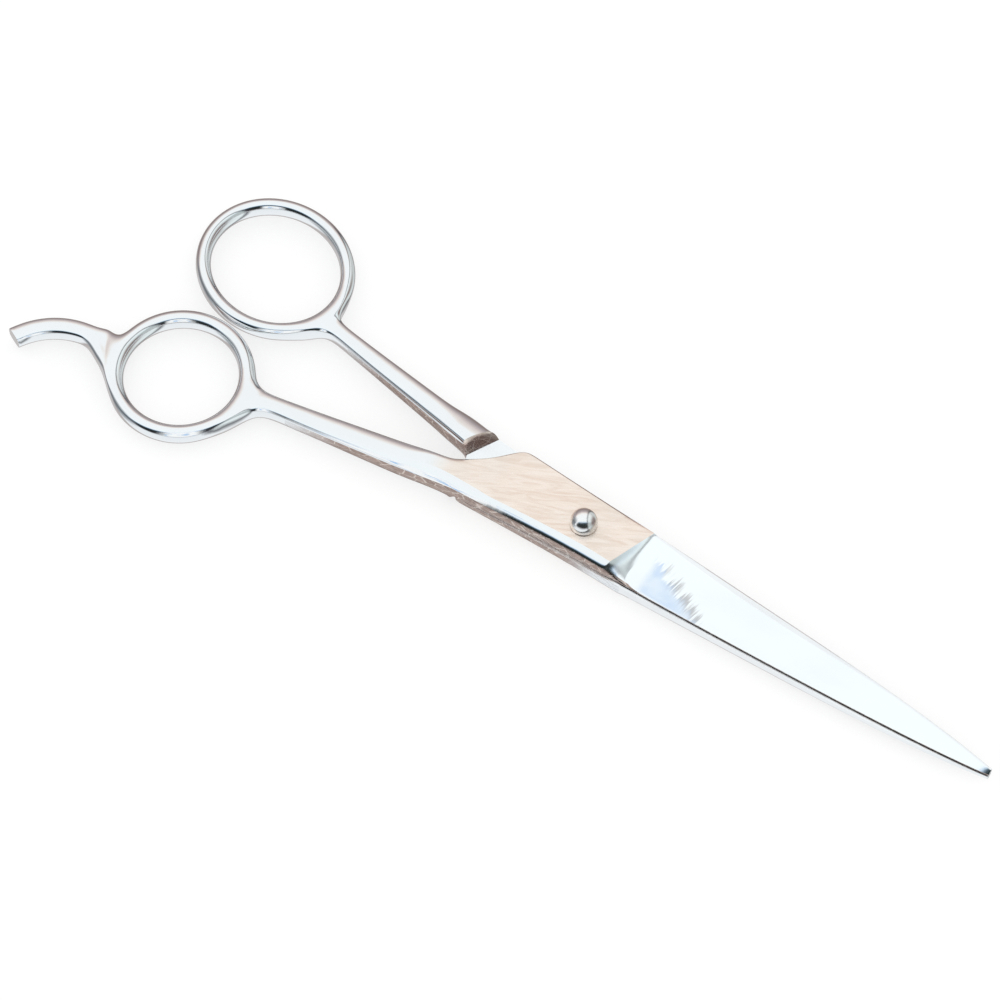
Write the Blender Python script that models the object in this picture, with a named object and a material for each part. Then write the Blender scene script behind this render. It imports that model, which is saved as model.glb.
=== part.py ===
"""Barber's shears, 190 mm class: two forged halves that turn on one domed pivot screw.

World frame, in metres: the origin is on the pivot axis, in the plane that the closed shears rest
on, +X runs along the blades to the tips, and +Z points up through the domed head. The halves share
one planform. It is drawn once, with the handle on the -Y side and the blade above the plane where
the halves meet, and the thumb half is that shape turned half a turn about X.
"""
import bpy
import bmesh
from math import cos, pi, radians, sin
from mathutils import Matrix, Vector

# Blades: half-widths are taken from the line of symmetry of the closed shears, the X axis
BLADE_LENGTH = 0.0905        # pivot to tip
SPINE_ROOT = 0.00655         # spine half-width at the pivot
SPINE_TAPER = 0.0038         # straight taper of the spine over the blade
SPINE_NOSE = 0.00215         # extra curve of the spine at the tip
SPINE_SPREAD = 0.045         # slope of the spine behind the pivot
EDGE_ROOT = 0.0059           # cutting-edge half-width, run back to the pivot
EDGE_TAPER = 0.00278
EDGE_BELLY = 0.0019
EDGE_NOSE = 0.0008
EDGE_THICKNESS = 0.0004      # land left at the cutting edge
TIP_THICKNESS = 0.0011       # spine thickness at the tip
BEVEL_MIN = 0.0004           # narrowest bevel along the spine
BEVEL_SWELL = 0.0010         # extra bevel width a third of the way out
BEVEL_SLOPE = 0.06           # drop of the bevel over its width

# Joint plates
PLATE_THICKNESS = 0.0030
PLATE_EDGE = 0.00585         # half-width on the side of the cutting edge, from the pivot forward
PLATE_SPREAD = 0.075         # slope of that side behind the pivot
PLATE_ROUND = 0.00205        # rounding of that side
EDGE_SHOULDER = 0.70         # share of the thickness where that side turns upright
PLATE_FRONT = 0.0080         # pivot to where the grinding of the blade starts
GRIND_SKEW = 0.0042          # how far the line of that grinding leans
TAIL_SKEW = 0.0050           # cross-sections lean by this much at the rear corner
STEP_REACH = 0.0281          # pivot to the step where the handle's full thickness starts
STEP_RUN = 0.0016            # length of that step's slope
STEP_SLANT = 0.0032          # how far the step leans back across the heel
HEEL_RUN = 0.0050            # step to the last cross-section of the round shank
HEEL_SWELL = 0.0005          # how far the shank stands out past the plate's edge there
THINNING_START = 0.4         # share of the shank where its thickness starts to change

# Handles
HANDLE_THICKNESS = 0.0041
HEEL_THICKNESS = 0.0030      # under the plane where the halves meet, at the step
HEEL_SIDE = 0.70             # share of it at the sides of the heel
FLARE_END = 0.10             # share of the shank taken by the fillets next to the ring
FINGER = {
    "hole": (0.01155, 0.0113, radians(135)),    # semi-axes and tilt
    "reach": 0.0843,            # pivot to the middle of the ring, along the shears
    "clear": 0.00107,           # between the ring and the line of symmetry
    "bar": 0.0033,              # width of the ring's bar
    "angle": radians(14),       # where the shank leaves the ring
    "root": 0.0,                # middle of its root
    "flare_low": 0.0032,        # its fillets
    "flare_high": 0.0010,
    "neck": 0.0040,             # shank width next to the ring
    "heel": 0.0064,             # and next to the plate
    "offset": 0.0057,           # middle of that end from the line of symmetry
    "chamfer": 0.0004,          # along the spine side of the plate
    "tail": 0.0096,             # step to the plate's rear corner
    "lean": 0.0052,             # how far the tail leans back from that corner
    "corner": 0.0,              # sharpness of that corner
    "rest": True}
THUMB = {
    "hole": (0.0140, 0.0122, radians(17)),
    "reach": 0.0840,
    "clear": -0.00036,
    "bar": 0.0030,
    "angle": radians(17),
    "root": radians(15),
    "flare_low": 0.0020,
    "flare_high": 0.0020,
    "neck": 0.0034,
    "heel": 0.0053,
    "offset": 0.0052,
    "chamfer": 0.0015,
    "tail": 0.0035,
    "lean": 0.0023,
    "corner": 0.8,
    "rest": False}

# Finger rest
TANG_ROOT = radians(210)     # middle of its root on the finger ring
TANG_START = radians(196)    # where its centre line leaves the ring
WEB_HEADING = radians(166)   # direction of that line across the web
TANG_HEADING = radians(184)  # and where the bend starts
TANG_LEAD = 0.0058           # length of the web
TANG_BEND = 0.0148           # bend radius of its centre line
TANG_SWEEP = radians(63)
TANG_WIDTH = 0.0041
TANG_THICKNESS = 0.0036
TANG_FLARE = 0.00365         # extra half-width of the web at the ring

# Pivot
SHANK_RADIUS = 0.0019
HEAD_RADIUS = 0.00265
HEAD_SIDE = 0.0009           # height of the head's straight side
HEAD_CROWN = 0.0026          # height of its dome
WEB = (0.62, 0.62, 0.60, 0.95, 0.74)            # the same for the web of the finger rest
SHANK_STATIONS = (0.035, 0.10, 0.22, 0.38, 0.56, 0.74, 0.90)
WEB_STATIONS = (0.25, 0.6, 1.0)
BEND_STATIONS = (0.17, 0.34, 0.51, 0.68, 0.85, 1.0)
RUNNING_CLEARANCE = 0.0001   # radial, in the finger half that turns on the screw
GAP = 0.0003                 # between fixed neighbours
FACE_GAP = 0.0003            # between the two ground faces, half of it on each

RING_SEGMENTS = 24
COLUMNS = 5                  # cage points across a half, on each face
CURVE_FIT = 0.917            # how near a closed cage of four points its smooth curve runs
TURNED_SEGMENTS = 48
DOME_STEPS = 6
SMOOTH_LEVEL = 1
SHARP = radians(24)
EVEN = (0, 0.25, 0.5, 0.75, 1)
CROWN = (0.70, 0.96, 1.0, 0.96, 0.70)           # height of a rounded bar across its width


def clear_scene():
    for obj in list(bpy.data.objects):
        bpy.data.objects.remove(obj, do_unlink=True)


def steel(name, colour, roughness):
    material = bpy.data.materials.new(name)
    material.use_nodes = True
    shader = material.node_tree.nodes["Principled BSDF"]
    shader.inputs["Base Color"].default_value = (*colour, 1)
    shader.inputs["Metallic"].default_value = 1
    shader.inputs["Roughness"].default_value = roughness
    return material


def mix(a, b, share):
    return a + (b - a) * share


def spine_width(x):
    s = max(x, 0) / BLADE_LENGTH
    return SPINE_ROOT - SPINE_TAPER * s - SPINE_NOSE * s ** 6 + SPINE_SPREAD * max(-x, 0)


def edge_width(x):
    s = x / BLADE_LENGTH
    return EDGE_ROOT - EDGE_TAPER * s - EDGE_BELLY * s ** 2 - EDGE_NOSE * s ** 8


def plate_edge(x):
    return PLATE_EDGE + PLATE_SPREAD * max(-x, 0)


def spine_thickness(x):
    return mix(PLATE_THICKNESS, TIP_THICKNESS, min(max(x, 0) / BLADE_LENGTH, 1))


class Cage:
    """Control cage of one half: points, faces and the edges that stay sharp."""

    def __init__(self):
        self.mesh = bmesh.new()
        self.crease = self.mesh.edges.layers.float.new("crease_edge")

    def point(self, x, y, z):
        return self.mesh.verts.new((x, y, z))

    def face(self, *points):
        self.mesh.faces.new(points)

    def sharpen(self, a, b, amount=1.0):
        edge = self.mesh.edges.get((a, b))
        edge[self.crease] = amount

    def row(self, low, high, spread, top, bottom):
        """One cross-section: points from the low edge to the high edge, on both faces."""
        rows = []
        for heights in (top, bottom):
            rows.append([self.point(mix(low[0], high[0], f), mix(low[1], high[1], f), z)
                         for f, z in zip(spread, heights)])
        return rows

    def join(self, first, second):
        """Skin between two cross-sections."""
        for face in (0, 1):
            for j in range(COLUMNS - 1):
                self.face(first[face][j], first[face][j + 1], second[face][j + 1], second[face][j])
        for j in (0, COLUMNS - 1):
            self.face(first[0][j], second[0][j], second[1][j], first[1][j])

    def cap(self, row, sharpness):
        """Closes an end, with its rim as sharp as asked."""
        for j in range(COLUMNS - 1):
            self.face(row[0][j], row[0][j + 1], row[1][j + 1], row[1][j])
            self.sharpen(row[0][j], row[0][j + 1], sharpness)
            self.sharpen(row[1][j], row[1][j + 1], sharpness)
        for j in (0, COLUMNS - 1):
            self.sharpen(row[0][j], row[1][j], sharpness)


def ring_centre(half):
    """Middle of the ring: its bar stops short of the line of symmetry."""
    semi_a, semi_b, tilt = half["hole"]
    half_width = ((semi_a * sin(tilt)) ** 2 + (semi_b * cos(tilt)) ** 2) ** 0.5
    return Vector((-half["reach"], -half_width - half["bar"] - half["clear"]))


def tail_reach(half):
    """Pivot to the plate's rear corner."""
    return STEP_REACH - half["tail"]


def ring_cage(cage, half, openings):
    """Ring of round bar; openings lists the segments whose outer wall a strip grows from."""
    semi_a, semi_b, tilt = half["hole"]
    centre = ring_centre(half).to_3d()
    turn = Matrix.Rotation(tilt, 3, "Z")
    bar = half["bar"]
    slack = bar * (1 / CURVE_FIT - 1) / 2
    fit = 3 / (2 + cos(2 * pi / RING_SEGMENTS))
    half_height = HANDLE_THICKNESS / 2 / CURVE_FIT
    stations = []
    for i in range(RING_SEGMENTS):
        local = 2 * pi * i / RING_SEGMENTS - tilt
        points = []
        for grow, side in ((-slack, 1), (bar + slack, 1), (bar + slack, -1), (-slack, -1)):
            spot = centre + fit * (turn @ Vector(((semi_a + grow) * cos(local),
                                                  (semi_b + grow) * sin(local), 0)))
            points.append(cage.point(spot.x, spot.y, side * half_height))
        stations.append(points)
    for i in range(RING_SEGMENTS):
        here, there = stations[i], stations[(i + 1) % RING_SEGMENTS]
        for k in range(4):
            if k == 1 and i in openings:
                continue
            cage.face(here[k], here[(k + 1) % 4], there[(k + 1) % 4], there[k])
    return stations


def ring_reach(half):
    """Ring centre to the outside of its bar, taken as a circle."""
    return (half["hole"][0] + half["hole"][1]) / 2 + half["bar"]


def opening_at(angle):
    """The ring segments that a strip of the cage leaves from, centred on an angle."""
    middle = round(angle / (2 * pi) * RING_SEGMENTS)
    first = middle - (COLUMNS - 1) // 2
    return [(first + k) % RING_SEGMENTS for k in range(COLUMNS)]


def root_row(stations, picks):
    return [[stations[i][1] for i in picks], [stations[i][2] for i in picks]]


def shank_rows(cage, half):
    """Cross-sections from the ring to the heel, each square to the shank."""
    leave = Vector((cos(half["angle"]), sin(half["angle"])))
    start = ring_centre(half) + ring_reach(half) * leave
    finish = Vector((-STEP_REACH - HEEL_RUN, -half["offset"]))
    along = (finish - start).normalized()
    across = Vector((-along.y, along.x))
    rows = []
    for share in SHANK_STATIONS:
        width = mix(half["neck"], half["heel"], share)
        fillet = max(0, 1 - share / FLARE_END) ** 1.5
        thinning = max(0, share - THINNING_START) / (1 - THINNING_START)
        top = mix(HANDLE_THICKNESS / 2, PLATE_THICKNESS, thinning)
        low = mix(HANDLE_THICKNESS / 2, HEEL_THICKNESS, thinning)
        spot = start.lerp(finish, share)
        rows.append(cage.row(spot - across * (width / 2 + half["flare_low"] * fillet),
                             spot + across * (width / 2 + half["flare_high"] * fillet), EVEN,
                             [top * c for c in CROWN], [-low * c for c in CROWN]))
    return rows


def edge_spread(low, high, border, last):
    """Shares across a row whose second point is a border's width in from the low edge."""
    width = (Vector(high) - Vector(low)).length
    first = border / width
    return (0, first, mix(first, last, 0.5), last, 1)


def heel_rows(cage, half):
    """Where the round shank turns into the flat plate, and the step on its inner side."""
    t = PLATE_THICKNESS
    deep = HEEL_THICKNESS
    full = (-HEEL_SIDE * deep, -0.97 * deep, -deep, -0.97 * deep, -HEEL_SIDE * deep)
    flat = (FACE_GAP / 2,) * COLUMNS
    slant = STEP_SLANT / 2
    x_low = -STEP_REACH - HEEL_RUN + 0.0012
    low = (x_low, -plate_edge(x_low) - HEEL_SWELL)
    high = (x_low - 0.0020, -0.0026)
    rows = [cage.row(low, high, edge_spread(low, high, 0.0036, 0.86),
                     (0.60 * t, 0.97 * t, t, t, 0.72 * t), full)]
    for run, rise, border, under in ((0.0, -0.0021, 0.0032, full),
                                     (STEP_RUN, -0.0013, 0.0030, flat)):
        x_low = -STEP_REACH + slant + run
        low = (x_low, -plate_edge(x_low))
        high = (-STEP_REACH - slant + run, rise)
        rows.append(cage.row(low, high, edge_spread(low, high, border, 0.91),
                             (EDGE_SHOULDER * t, t, t, t, 0.75 * t), under))
    for lean, rise in ((1.0, 0.0018), (0.46, 0.0050)):
        x_high = -tail_reach(half) - lean * half["lean"]
        x_low = x_high + TAIL_SKEW - 0.0005
        low = (x_low, -plate_edge(x_low))
        high = (x_high, rise)
        rows.append(cage.row(low, high, edge_spread(low, high, PLATE_ROUND, 0.93),
                             (EDGE_SHOULDER * t, t, t, t, 0.78 * t), flat))
    return rows


def plate_rows(cage, half):
    """Flat joint plate, from its rear corner to where the blade is ground."""
    t = PLATE_THICKNESS
    tail = tail_reach(half)
    spots = ((TAIL_SKEW - tail, -tail), (TAIL_SKEW - tail + 0.0016, 0.0022 - tail),
             (-0.0045, -0.0080), (0.0030, 0.0030), (PLATE_FRONT - 0.0012, PLATE_FRONT + 0.0034),
             (PLATE_FRONT, PLATE_FRONT + GRIND_SKEW))
    rows = []
    for x_low, x_high in spots:
        low = (x_low, -plate_edge(x_low))
        high = (x_high, spine_width(x_high))
        width = (Vector(high) - Vector(low)).length
        fade = min(max(x_high / (PLATE_FRONT + GRIND_SKEW), 0), 1)
        chamfer = mix(half["chamfer"], BEVEL_MIN, fade)
        drop = chamfer * mix(1, BEVEL_SLOPE, fade)
        rows.append(cage.row(low, high, edge_spread(low, high, PLATE_ROUND, 1 - chamfer / width),
                             (EDGE_SHOULDER * t, t, t, t, t - drop), (FACE_GAP / 2,) * COLUMNS))
    return rows


def blade_row(cage, x_low, x_high, lift=0.0):
    """Ground blade: one slope from the bevelled spine down to the cutting edge."""
    width = edge_width(x_low) + spine_width(x_high)
    thick = spine_thickness(x_high)
    share = min(max((x_high / BLADE_LENGTH - 0.14) / 0.54, 0), 1)
    bevel = min(BEVEL_MIN + BEVEL_SWELL * sin(pi * share), 0.3 * width)
    spread = (0, 0.30, 0.62, 1 - bevel / width, 1)
    top = [mix(EDGE_THICKNESS, thick, f / spread[3]) for f in spread[:4]]
    top = [mix(z, thick, lift * (1 - f)) for z, f in zip(top, spread)]
    top.append(thick - BEVEL_SLOPE * bevel)
    return cage.row((x_low, -edge_width(x_low)), (x_high, spine_width(x_high)), spread,
                    top, (FACE_GAP / 2,) * COLUMNS)


def blade_rows(cage):
    start = PLATE_FRONT
    rows = [blade_row(cage, start + 0.0022, start + 0.0048, 0.55),
            blade_row(cage, start + 0.0040, start + 0.0055)]
    first = (start + 0.0055) / BLADE_LENGTH
    for share in (0.09, 0.21, 0.34, 0.47, 0.60, 0.72, 0.82, 0.90, 0.955, 0.985, 1.0):
        x = BLADE_LENGTH * mix(first, 1, share)
        rows.append(blade_row(cage, x, x))
    return rows


def sharpen_sheet(cage, heel, plate, blade, corner):
    """Sharp lines of the flat-ground part: its inner face, the plate's borders and the blade."""
    inner = heel[1:] + plate + blade
    for first, second in zip(inner, inner[1:]):
        for j in (0, COLUMNS - 1):
            cage.sharpen(first[1][j], second[1][j])
    for row in heel[1:3]:
        for j in range(COLUMNS - 1):
            cage.sharpen(row[1][j], row[1][j + 1])
    ground = heel[2:] + plate + blade
    for first, second in zip(ground, ground[1:]):
        cage.sharpen(first[0][COLUMNS - 2], second[0][COLUMNS - 2])
    bordered = heel[3:] + plate
    for first, second in zip(bordered, bordered[1:]):
        cage.sharpen(first[0][1], second[0][1])
    spine = plate + blade
    for first, second in zip(spine, spine[1:]):
        cage.sharpen(first[0][COLUMNS - 1], second[0][COLUMNS - 1])
    for first, second in zip(blade[1:], blade[2:]):
        cage.sharpen(first[0][0], second[0][0])
    for j in range(COLUMNS - 1):
        cage.sharpen(plate[-1][0][j], plate[-1][0][j + 1])
        cage.sharpen(blade[1][0][j], blade[1][0][j + 1])
    cage.sharpen(plate[0][0][COLUMNS - 1], plate[0][1][COLUMNS - 1], corner)


def tang_rows(cage, half):
    """Curved finger rest: a web that narrows away from the ring, and one bend."""
    leave = Vector((cos(TANG_START), sin(TANG_START)))
    start = ring_centre(half) + ring_reach(half) * leave
    finish = start + TANG_LEAD * Vector((cos(WEB_HEADING), sin(WEB_HEADING)))
    rows = []
    for share in WEB_STATIONS:
        heading = mix(TANG_ROOT, TANG_HEADING, share ** 2)
        across = Vector((sin(heading), -cos(heading)))
        reach = TANG_WIDTH / 2 + TANG_FLARE * (1 - share)
        heights = [HANDLE_THICKNESS / 2 * mix(w, c, share) for w, c in zip(WEB, CROWN)]
        middle = start.lerp(finish, share)
        rows.append(cage.row(middle + across * reach, middle - across * reach, EVEN,
                             heights, [-h for h in heights]))
    for share in BEND_STATIONS:
        heading = TANG_HEADING + TANG_SWEEP * share
        centre = finish + TANG_BEND * Vector((-sin(TANG_HEADING), cos(TANG_HEADING)))
        across = Vector((sin(heading), -cos(heading)))
        middle = centre + TANG_BEND * across
        height = mix(HANDLE_THICKNESS, TANG_THICKNESS, share) / 2
        rows.append(cage.row(middle + across * TANG_WIDTH / 2, middle - across * TANG_WIDTH / 2, EVEN,
                             [height * c for c in CROWN], [-height * c for c in CROWN]))
    return rows


def half_mesh(name, half):
    cage = Cage()
    shank_picks = opening_at(half["root"])
    tang_picks = opening_at(TANG_ROOT) if half["rest"] else []
    stations = ring_cage(cage, half, shank_picks[:-1] + tang_picks[:-1])
    heel = heel_rows(cage, half)
    plate = plate_rows(cage, half)
    blade = blade_rows(cage)
    rows = [root_row(stations, shank_picks)] + shank_rows(cage, half) + heel + plate + blade
    for first, second in zip(rows, rows[1:]):
        cage.join(first, second)
    sharpen_sheet(cage, heel, plate, blade, half["corner"])
    cage.cap(rows[-1], 0.6)
    if half["rest"]:
        rest = [root_row(stations, tang_picks)] + tang_rows(cage, half)
        for first, second in zip(rest, rest[1:]):
            cage.join(first, second)
        cage.cap(rest[-1], 0.8)
    bmesh.ops.recalc_face_normals(cage.mesh, faces=cage.mesh.faces)
    mesh = bpy.data.meshes.new(name)
    cage.mesh.to_mesh(mesh)
    cage.mesh.free()
    return mesh


def cylinder_cutter(name, radius):
    mesh = bpy.data.meshes.new(name)
    shape = bmesh.new()
    bmesh.ops.create_cone(shape, cap_ends=True, segments=TURNED_SEGMENTS, radius1=radius, radius2=radius,
                          depth=4 * PLATE_THICKNESS)
    shape.to_mesh(mesh)
    shape.free()
    cutter = bpy.data.objects.new(name, mesh)
    cutter.location.z = PLATE_THICKNESS
    cutter.hide_render = True
    cutter.display_type = "WIRE"
    bpy.context.collection.objects.link(cutter)
    return cutter


def add_half(name, half, placing, bore, material):
    mesh = half_mesh(name, half)
    mesh.transform(placing)
    mesh.materials.append(material)
    mesh.shade_smooth()
    piece = bpy.data.objects.new(name, mesh)
    bpy.context.collection.objects.link(piece)
    smooth = piece.modifiers.new("smooth", "SUBSURF")
    smooth.levels = SMOOTH_LEVEL
    smooth.render_levels = SMOOTH_LEVEL
    cut = piece.modifiers.new("bore", "BOOLEAN")
    cut.operation = "DIFFERENCE"
    cut.solver = "EXACT"
    cut.object = cylinder_cutter(name + "_bore", bore)
    return piece


def turned(name, profile, material):
    """Solid of revolution about Z, from (radius, height) pairs that start and end on the axis."""
    shape = bmesh.new()
    bottom = shape.verts.new((0, 0, profile[0][1]))
    top = shape.verts.new((0, 0, profile[-1][1]))
    rings = []
    for radius, height in profile[1:-1]:
        rings.append([shape.verts.new((radius * cos(2 * pi * i / TURNED_SEGMENTS),
                                       radius * sin(2 * pi * i / TURNED_SEGMENTS), height))
                      for i in range(TURNED_SEGMENTS)])
    for i in range(TURNED_SEGMENTS):
        j = (i + 1) % TURNED_SEGMENTS
        shape.faces.new((bottom, rings[0][j], rings[0][i]))
        for lower, upper in zip(rings, rings[1:]):
            shape.faces.new((lower[i], lower[j], upper[j], upper[i]))
        shape.faces.new((rings[-1][i], rings[-1][j], top))
    mesh = bpy.data.meshes.new(name)
    shape.to_mesh(mesh)
    shape.free()
    mesh.materials.append(material)
    mesh.shade_smooth()
    mesh.set_sharp_from_angle(angle=SHARP)
    piece = bpy.data.objects.new(name, mesh)
    bpy.context.collection.objects.link(piece)
    return piece


def add_pivot_screw(material):
    """Domed head above, plain shank through both plates, and a tail flush with the lower plate."""
    seat = 2 * PLATE_THICKNESS + GAP
    profile = [(0, 0), (SHANK_RADIUS, 0), (SHANK_RADIUS, seat), (HEAD_RADIUS, seat),
               (HEAD_RADIUS, seat + HEAD_SIDE)]
    for k in range(1, DOME_STEPS):
        lean = k / DOME_STEPS * pi / 2
        profile.append((HEAD_RADIUS * cos(lean), seat + HEAD_SIDE + HEAD_CROWN * sin(lean)))
    profile.append((0, seat + HEAD_SIDE + HEAD_CROWN))
    return turned("pivot_screw", profile, material)


def main():
    clear_scene()
    upright = Matrix.Translation((0, 0, PLATE_THICKNESS))
    turned_over = upright @ Matrix.Rotation(pi, 4, "X")
    add_half("finger_half", FINGER, upright, SHANK_RADIUS + RUNNING_CLEARANCE,
             steel("finger_steel", (0.78, 0.79, 0.81), 0.16))
    add_half("thumb_half", THUMB, turned_over, SHANK_RADIUS + GAP,
             steel("thumb_steel", (0.76, 0.77, 0.79), 0.16))
    add_pivot_screw(steel("screw_steel", (0.80, 0.80, 0.80), 0.12))


main()
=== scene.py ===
"""Looks for the barber's shears: fine subdivision surfaces for the two halves and the pivot screw,
procedural steels, and a pale studio. Metres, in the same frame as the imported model: the origin is on
the pivot axis in the resting plane, +X runs to the tips and +Z up through the domed head.
"""
from math import cos, pi, radians, sin

import bmesh
import bpy
from mathutils import Matrix, Vector


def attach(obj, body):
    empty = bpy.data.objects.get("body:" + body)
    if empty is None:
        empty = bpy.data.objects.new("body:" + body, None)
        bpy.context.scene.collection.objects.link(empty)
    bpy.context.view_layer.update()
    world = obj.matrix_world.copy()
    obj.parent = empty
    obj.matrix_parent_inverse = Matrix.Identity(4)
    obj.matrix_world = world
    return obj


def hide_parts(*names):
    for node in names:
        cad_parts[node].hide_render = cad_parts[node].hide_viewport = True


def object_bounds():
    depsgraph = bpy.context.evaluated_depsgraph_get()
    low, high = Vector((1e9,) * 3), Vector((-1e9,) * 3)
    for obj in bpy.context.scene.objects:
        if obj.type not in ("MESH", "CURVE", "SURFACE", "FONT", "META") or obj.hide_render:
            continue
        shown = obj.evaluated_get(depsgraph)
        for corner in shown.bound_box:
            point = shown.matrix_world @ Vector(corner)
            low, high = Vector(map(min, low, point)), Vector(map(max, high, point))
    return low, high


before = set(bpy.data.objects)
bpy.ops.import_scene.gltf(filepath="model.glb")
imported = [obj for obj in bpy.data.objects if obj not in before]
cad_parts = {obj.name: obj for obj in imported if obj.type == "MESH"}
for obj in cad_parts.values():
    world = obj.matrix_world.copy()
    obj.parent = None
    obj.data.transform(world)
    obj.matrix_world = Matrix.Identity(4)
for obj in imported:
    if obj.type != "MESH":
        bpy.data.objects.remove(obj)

cad_low, cad_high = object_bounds()

# Blades: half-widths are taken from the line of symmetry of the closed shears, the X axis
BLADE_LENGTH = 0.0905        # pivot to tip
SPINE_ROOT = 0.00655         # spine half-width at the pivot
SPINE_TAPER = 0.0038         # straight taper of the spine over the blade
SPINE_NOSE = 0.00215         # extra curve of the spine at the tip
SPINE_SPREAD = 0.045         # slope of the spine behind the pivot
EDGE_ROOT = 0.0059           # cutting-edge half-width, run back to the pivot
EDGE_TAPER = 0.00278
EDGE_BELLY = 0.0019
EDGE_NOSE = 0.0008
EDGE_THICKNESS = 0.0004      # land left at the cutting edge
TIP_THICKNESS = 0.0011       # spine thickness at the tip
BEVEL_MIN = 0.0004           # narrowest bevel along the spine
BEVEL_SWELL = 0.0010         # extra width where it is widest
BEVEL_SLOPE = 0.06           # drop of the bevel over its width
BEVEL_START = 0.14           # share of the blade where the bevel starts to widen
BEVEL_SPAN = 0.54            # share of it over which it widens and narrows
BEVEL_LIMIT = 0.3            # widest bevel, as a share of the blade's width
BLADE_STATIONS = (0.09, 0.21, 0.34, 0.47, 0.60, 0.72, 0.82, 0.90, 0.955, 0.985, 1.0)
BLADE_GAP = 0.0003           # left between the blades by their hollow grinding
SPINE_SHARPNESS = 0.50       # of the softly broken edge along the spine
TIP_SHARPNESS = 0.6

# Joint plates
PLATE_THICKNESS = 0.0030
PLATE_EDGE = 0.00585         # half-width on the side of the cutting edge, from the pivot forward
PLATE_SPREAD = 0.075         # slope of that side behind the pivot
PLATE_ROUND = 0.00205        # rounding of that side
EDGE_SHOULDER = 0.70         # share of the thickness where that side turns upright
PLATE_FRONT = 0.0080         # pivot to where the grinding of the blade starts
GRIND_SKEW = 0.0042          # how far the line of that grinding leans
GRIND_ROWS = ((0.0022, 0.0048, 0.55), (0.0040, 0.0055, 0.0))    # low and high end, and its lift
PLATE_ROWS = ((-0.0045, -0.0080), (0.0030, 0.0030))     # low and high end, from the pivot
PLATE_LAST = (-0.0012, 0.0034)                          # the same, from the plate's front
CORNER_RUN = (0.0016, 0.0022)                           # the same, from the rear corner
TAIL_SKEW = 0.0050           # cross-sections lean by this much at the rear corner
TAIL_EASE = 0.0005           # and by this much less behind it
TAIL_ROWS = ((1.0, 0.0018), (0.46, 0.0050))     # share of the tail's lean, and high side along Y
TAIL_LAST = 0.93             # where the high side's border starts, as a share across those rows
STEP_REACH = 0.0281          # pivot to the step where the handle's full thickness starts
STEP_RUN = 0.0016            # length of that step's slope
STEP_SLANT = 0.0032          # how far the step leans back across the heel
HEEL_RUN = 0.0050            # step to the last cross-section of the round shank
HEEL_SWELL = 0.0005          # how far the shank stands out past the plate's edge there
HEEL_LAG = 0.0012            # how much nearer the step its low end stands
HEEL_LEAN = 0.0020           # and how far it leans back to its high end
HEEL_INNER = -0.0026         # its high side, along Y
HEEL_BORDER = 0.0036         # rounding of its low side
HEEL_LAST = 0.86             # where the high side's border starts across it
STEP_ROWS = ((-0.0021, 0.0032), (-0.0013, 0.0030))      # high side and border at its top and foot
STEP_LAST = 0.91             # where the high side's border starts there
THINNING_START = 0.4         # share of the shank where its thickness starts to change

# Handles
HANDLE_THICKNESS = 0.0041
HEEL_THICKNESS = 0.0030      # under the plane where the halves meet, at the step
HEEL_SIDE = 0.70             # share of it at the sides of the heel
SHANK_STATIONS = (0.035, 0.10, 0.22, 0.38, 0.56, 0.74, 0.90)
FLARE_END = 0.10             # share of the shank taken by the fillets next to the ring
FLARE_CURVE = 1.5            # how quickly they narrow
FINGER = {
    "hole": (0.01155, 0.0113, radians(135)),    # semi-axes and tilt
    "reach": 0.0843,            # pivot to the middle of the ring, along the shears
    "clear": 0.00107,           # between the ring and the line of symmetry
    "bar": 0.0033,              # width of the ring's bar
    "angle": radians(14),       # where the shank leaves the ring
    "root": 0.0,                # middle of its root
    "flare_low": 0.0032,        # its fillets
    "flare_high": 0.0010,
    "neck": 0.0040,             # shank width next to the ring
    "heel": 0.0064,             # and next to the plate
    "offset": 0.0057,           # middle of that end from the line of symmetry
    "chamfer": 0.0004,          # along the spine side of the plate
    "tail": 0.0096,             # step to the plate's rear corner
    "lean": 0.0052,             # how far the tail leans back from that corner
    "corner": 0.0,              # sharpness of that corner
    "rest": True}
THUMB = {
    "hole": (0.0140, 0.0122, radians(17)),
    "reach": 0.0840,
    "clear": -0.00036,
    "bar": 0.0030,
    "angle": radians(17),
    "root": radians(15),
    "flare_low": 0.0020,
    "flare_high": 0.0020,
    "neck": 0.0034,
    "heel": 0.0053,
    "offset": 0.0052,
    "chamfer": 0.0015,
    "tail": 0.0035,
    "lean": 0.0023,
    "corner": 0.8,
    "rest": False}

# Finger rest
TANG_ROOT = radians(210)     # middle of its root on the finger ring
TANG_START = radians(196)    # where its centre line leaves the ring
WEB_HEADING = radians(166)   # direction of that line across the web
TANG_HEADING = radians(184)  # and where the bend starts
TANG_LEAD = 0.0058           # length of the web
TANG_BEND = 0.0148           # bend radius of its centre line
TANG_SWEEP = radians(63)
TANG_WIDTH = 0.0041
TANG_THICKNESS = 0.0036
TANG_FLARE = 0.00365         # extra half-width of the web at the ring
REST_SHARPNESS = 0.8         # of the rim of its end
WEB_STATIONS = (0.25, 0.6, 1.0)
BEND_STATIONS = (0.17, 0.34, 0.51, 0.68, 0.85, 1.0)

# Heights across a row, from its low side to its high side, as shares of the full height
CROWN = (0.70, 0.96, 1.0, 0.96, 0.70)                   # rounded bar
WEB = (0.62, 0.62, 0.60, 0.95, 0.74)                    # web of the finger rest
HEEL_CROWN = (0.60, 0.97, 1, 1, 0.72)
HEEL_BELLY = (HEEL_SIDE, 0.97, 1, 0.97, HEEL_SIDE)      # its under side
STEP_CROWN = (EDGE_SHOULDER, 1, 1, 1, 0.75)
TAIL_CROWN = (EDGE_SHOULDER, 1, 1, 1, 0.78)

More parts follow.
